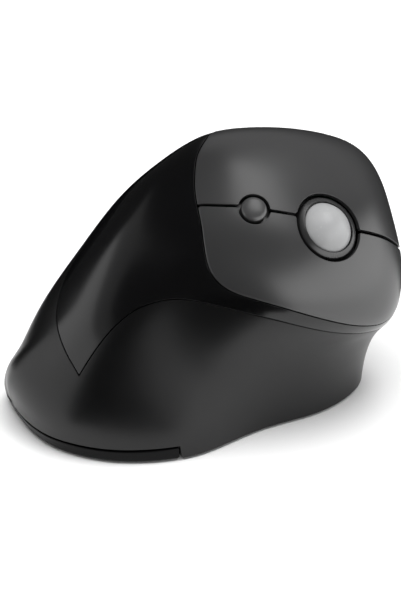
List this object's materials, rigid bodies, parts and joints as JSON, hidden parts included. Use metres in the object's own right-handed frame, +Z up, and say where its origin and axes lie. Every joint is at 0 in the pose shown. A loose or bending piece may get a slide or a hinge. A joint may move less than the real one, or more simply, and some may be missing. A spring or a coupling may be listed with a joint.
{
  "type": "trackball mouse",
  "caption": "Upright contoured cordless mouse with a fingertip ball in a ring between sprung keys, a small oval button, thumb buttons and a sliding battery door.",
  "frame": {"origin": "on the desk, under the middle of the mouse's plan", "axes": "+Z up, +Y forward from the wrist to the fingertips, +X to the right, where the palm and fingers lie on the slope"},
  "size_m": [0.0685, 0.1105, 0.0744],
  "materials": {
    "soft_shell": "fine matte soft-touch black",
    "base_shell": "fine matte black",
    "gloss_cover": "deep gloss black",
    "satin_key": "satin charcoal",
    "grip_rubber": "textured black rubber",
    "thumb_button": "satin black",
    "small_button": "satin charcoal",
    "ball_grey": "smooth light grey",
    "ring_grey": "satin dark grey",
    "inner_black": "plain moulded black",
    "chip_black": "black epoxy",
    "board_green": "solder mask green",
    "door_gloss": "satin black",
    "skate": "low-friction grey-black",
    "steel": "plain steel",
    "cell_wrap": "blue-grey wrapped cell",
    "switch_white": "white slider",
    "lens_clear": "clear moulded lens"
  },
  "bodies": {
    "chassis": {"lower_housing": "soft_shell", "palm_cover": "gloss_cover", "thumb_grip": "grip_rubber", "base_plate": "base_shell", "skate_front": "skate", "skate_left": "skate", "skate_right": "skate", "screw_front_left": "steel", "screw_front_right": "steel", "screw_rear_left": "steel", "screw_rear_right": "steel", "ball_ring": "ring_grey", "ball_cup": "inner_black", "bearing_ball_1": "steel", "bearing_ball_2": "steel", "bearing_ball_3": "steel", "ball_sensor": "chip_black", "ball_sensor_board": "board_green", "key_board": "board_green", "left_switch": "chip_black", "right_switch": "chip_black", "dpi_switch": "chip_black", "side_board": "board_green", "forward_switch": "chip_black", "back_switch": "chip_black", "battery_tray": "inner_black", "battery_cell": "cell_wrap", "battery_cap": "steel", "contact_plus": "steel", "contact_minus": "steel", "contact_spring": "steel", "receiver_cap": "inner_black", "receiver_plug": "steel", "main_board": "board_green", "desk_sensor": "chip_black", "desk_lens": "lens_clear", "radio_chip": "chip_black"},
    "left_key_body": {"left_key": "satin_key"},
    "right_key_body": {"right_key": "satin_key"},
    "dpi_body": {"dpi_button": "small_button"},
    "ball_body": {"ball": "ball_grey"},
    "forward_body": {"forward_button": "thumb_button"},
    "back_body": {"back_button": "thumb_button"},
    "power_body": {"power_switch": "switch_white"},
    "door_body": {"battery_door": "door_gloss", "skate_rear": "skate"}
  },
  "joints": [
    {"name": "left_key_click", "type": "hinge", "parent": "chassis", "child": "left_key_body", "pos_m": [0.0014, -0.0037, 0.068], "axis": [-0.7359, 0, 0.6771], "range_deg": [0, 0.15], "stiffness_Nm_per_rad": 2, "springref_deg": -0.69},
    {"name": "right_key_click", "type": "hinge", "parent": "chassis", "child": "right_key_body", "pos_m": [0.0168, -0.0069, 0.058], "axis": [-0.7359, 0, 0.6771], "range_deg": [0, 0.15], "stiffness_Nm_per_rad": 2, "springref_deg": -0.69},
    {"name": "dpi_click", "type": "slide", "parent": "chassis", "child": "dpi_body", "axis": [-0.6258, 0.0812, -0.7758], "range_m": [0, 0.0004], "stiffness_N_per_m": 1500, "springref_m": -0.0003},
    {"name": "forward_click", "type": "slide", "parent": "chassis", "child": "forward_body", "axis": [0.9796, -0.039, -0.1969], "range_m": [0, 0.0004], "stiffness_N_per_m": 1500, "springref_m": -0.0003},
    {"name": "back_click", "type": "slide", "parent": "chassis", "child": "back_body", "axis": [0.9843, 0.039, -0.1721], "range_m": [0, 0.0004], "stiffness_N_per_m": 1500, "springref_m": -0.0003},
    {"name": "ball_spin", "type": "hinge", "parent": "chassis", "child": "ball_body", "pos_m": [0.01958, 0.02577, 0.05436], "axis": [0.7359, 0, -0.6771], "continuous": true},
    {"name": "power_slide", "type": "slide", "parent": "chassis", "child": "power_body", "axis": [1, 0, 0], "range_m": [0, 0.003]},
    {"name": "battery_door_slide", "type": "slide", "parent": "chassis", "child": "door_body", "axis": [0, -1, 0], "range_m": [0, 0.008]}
  ]
}
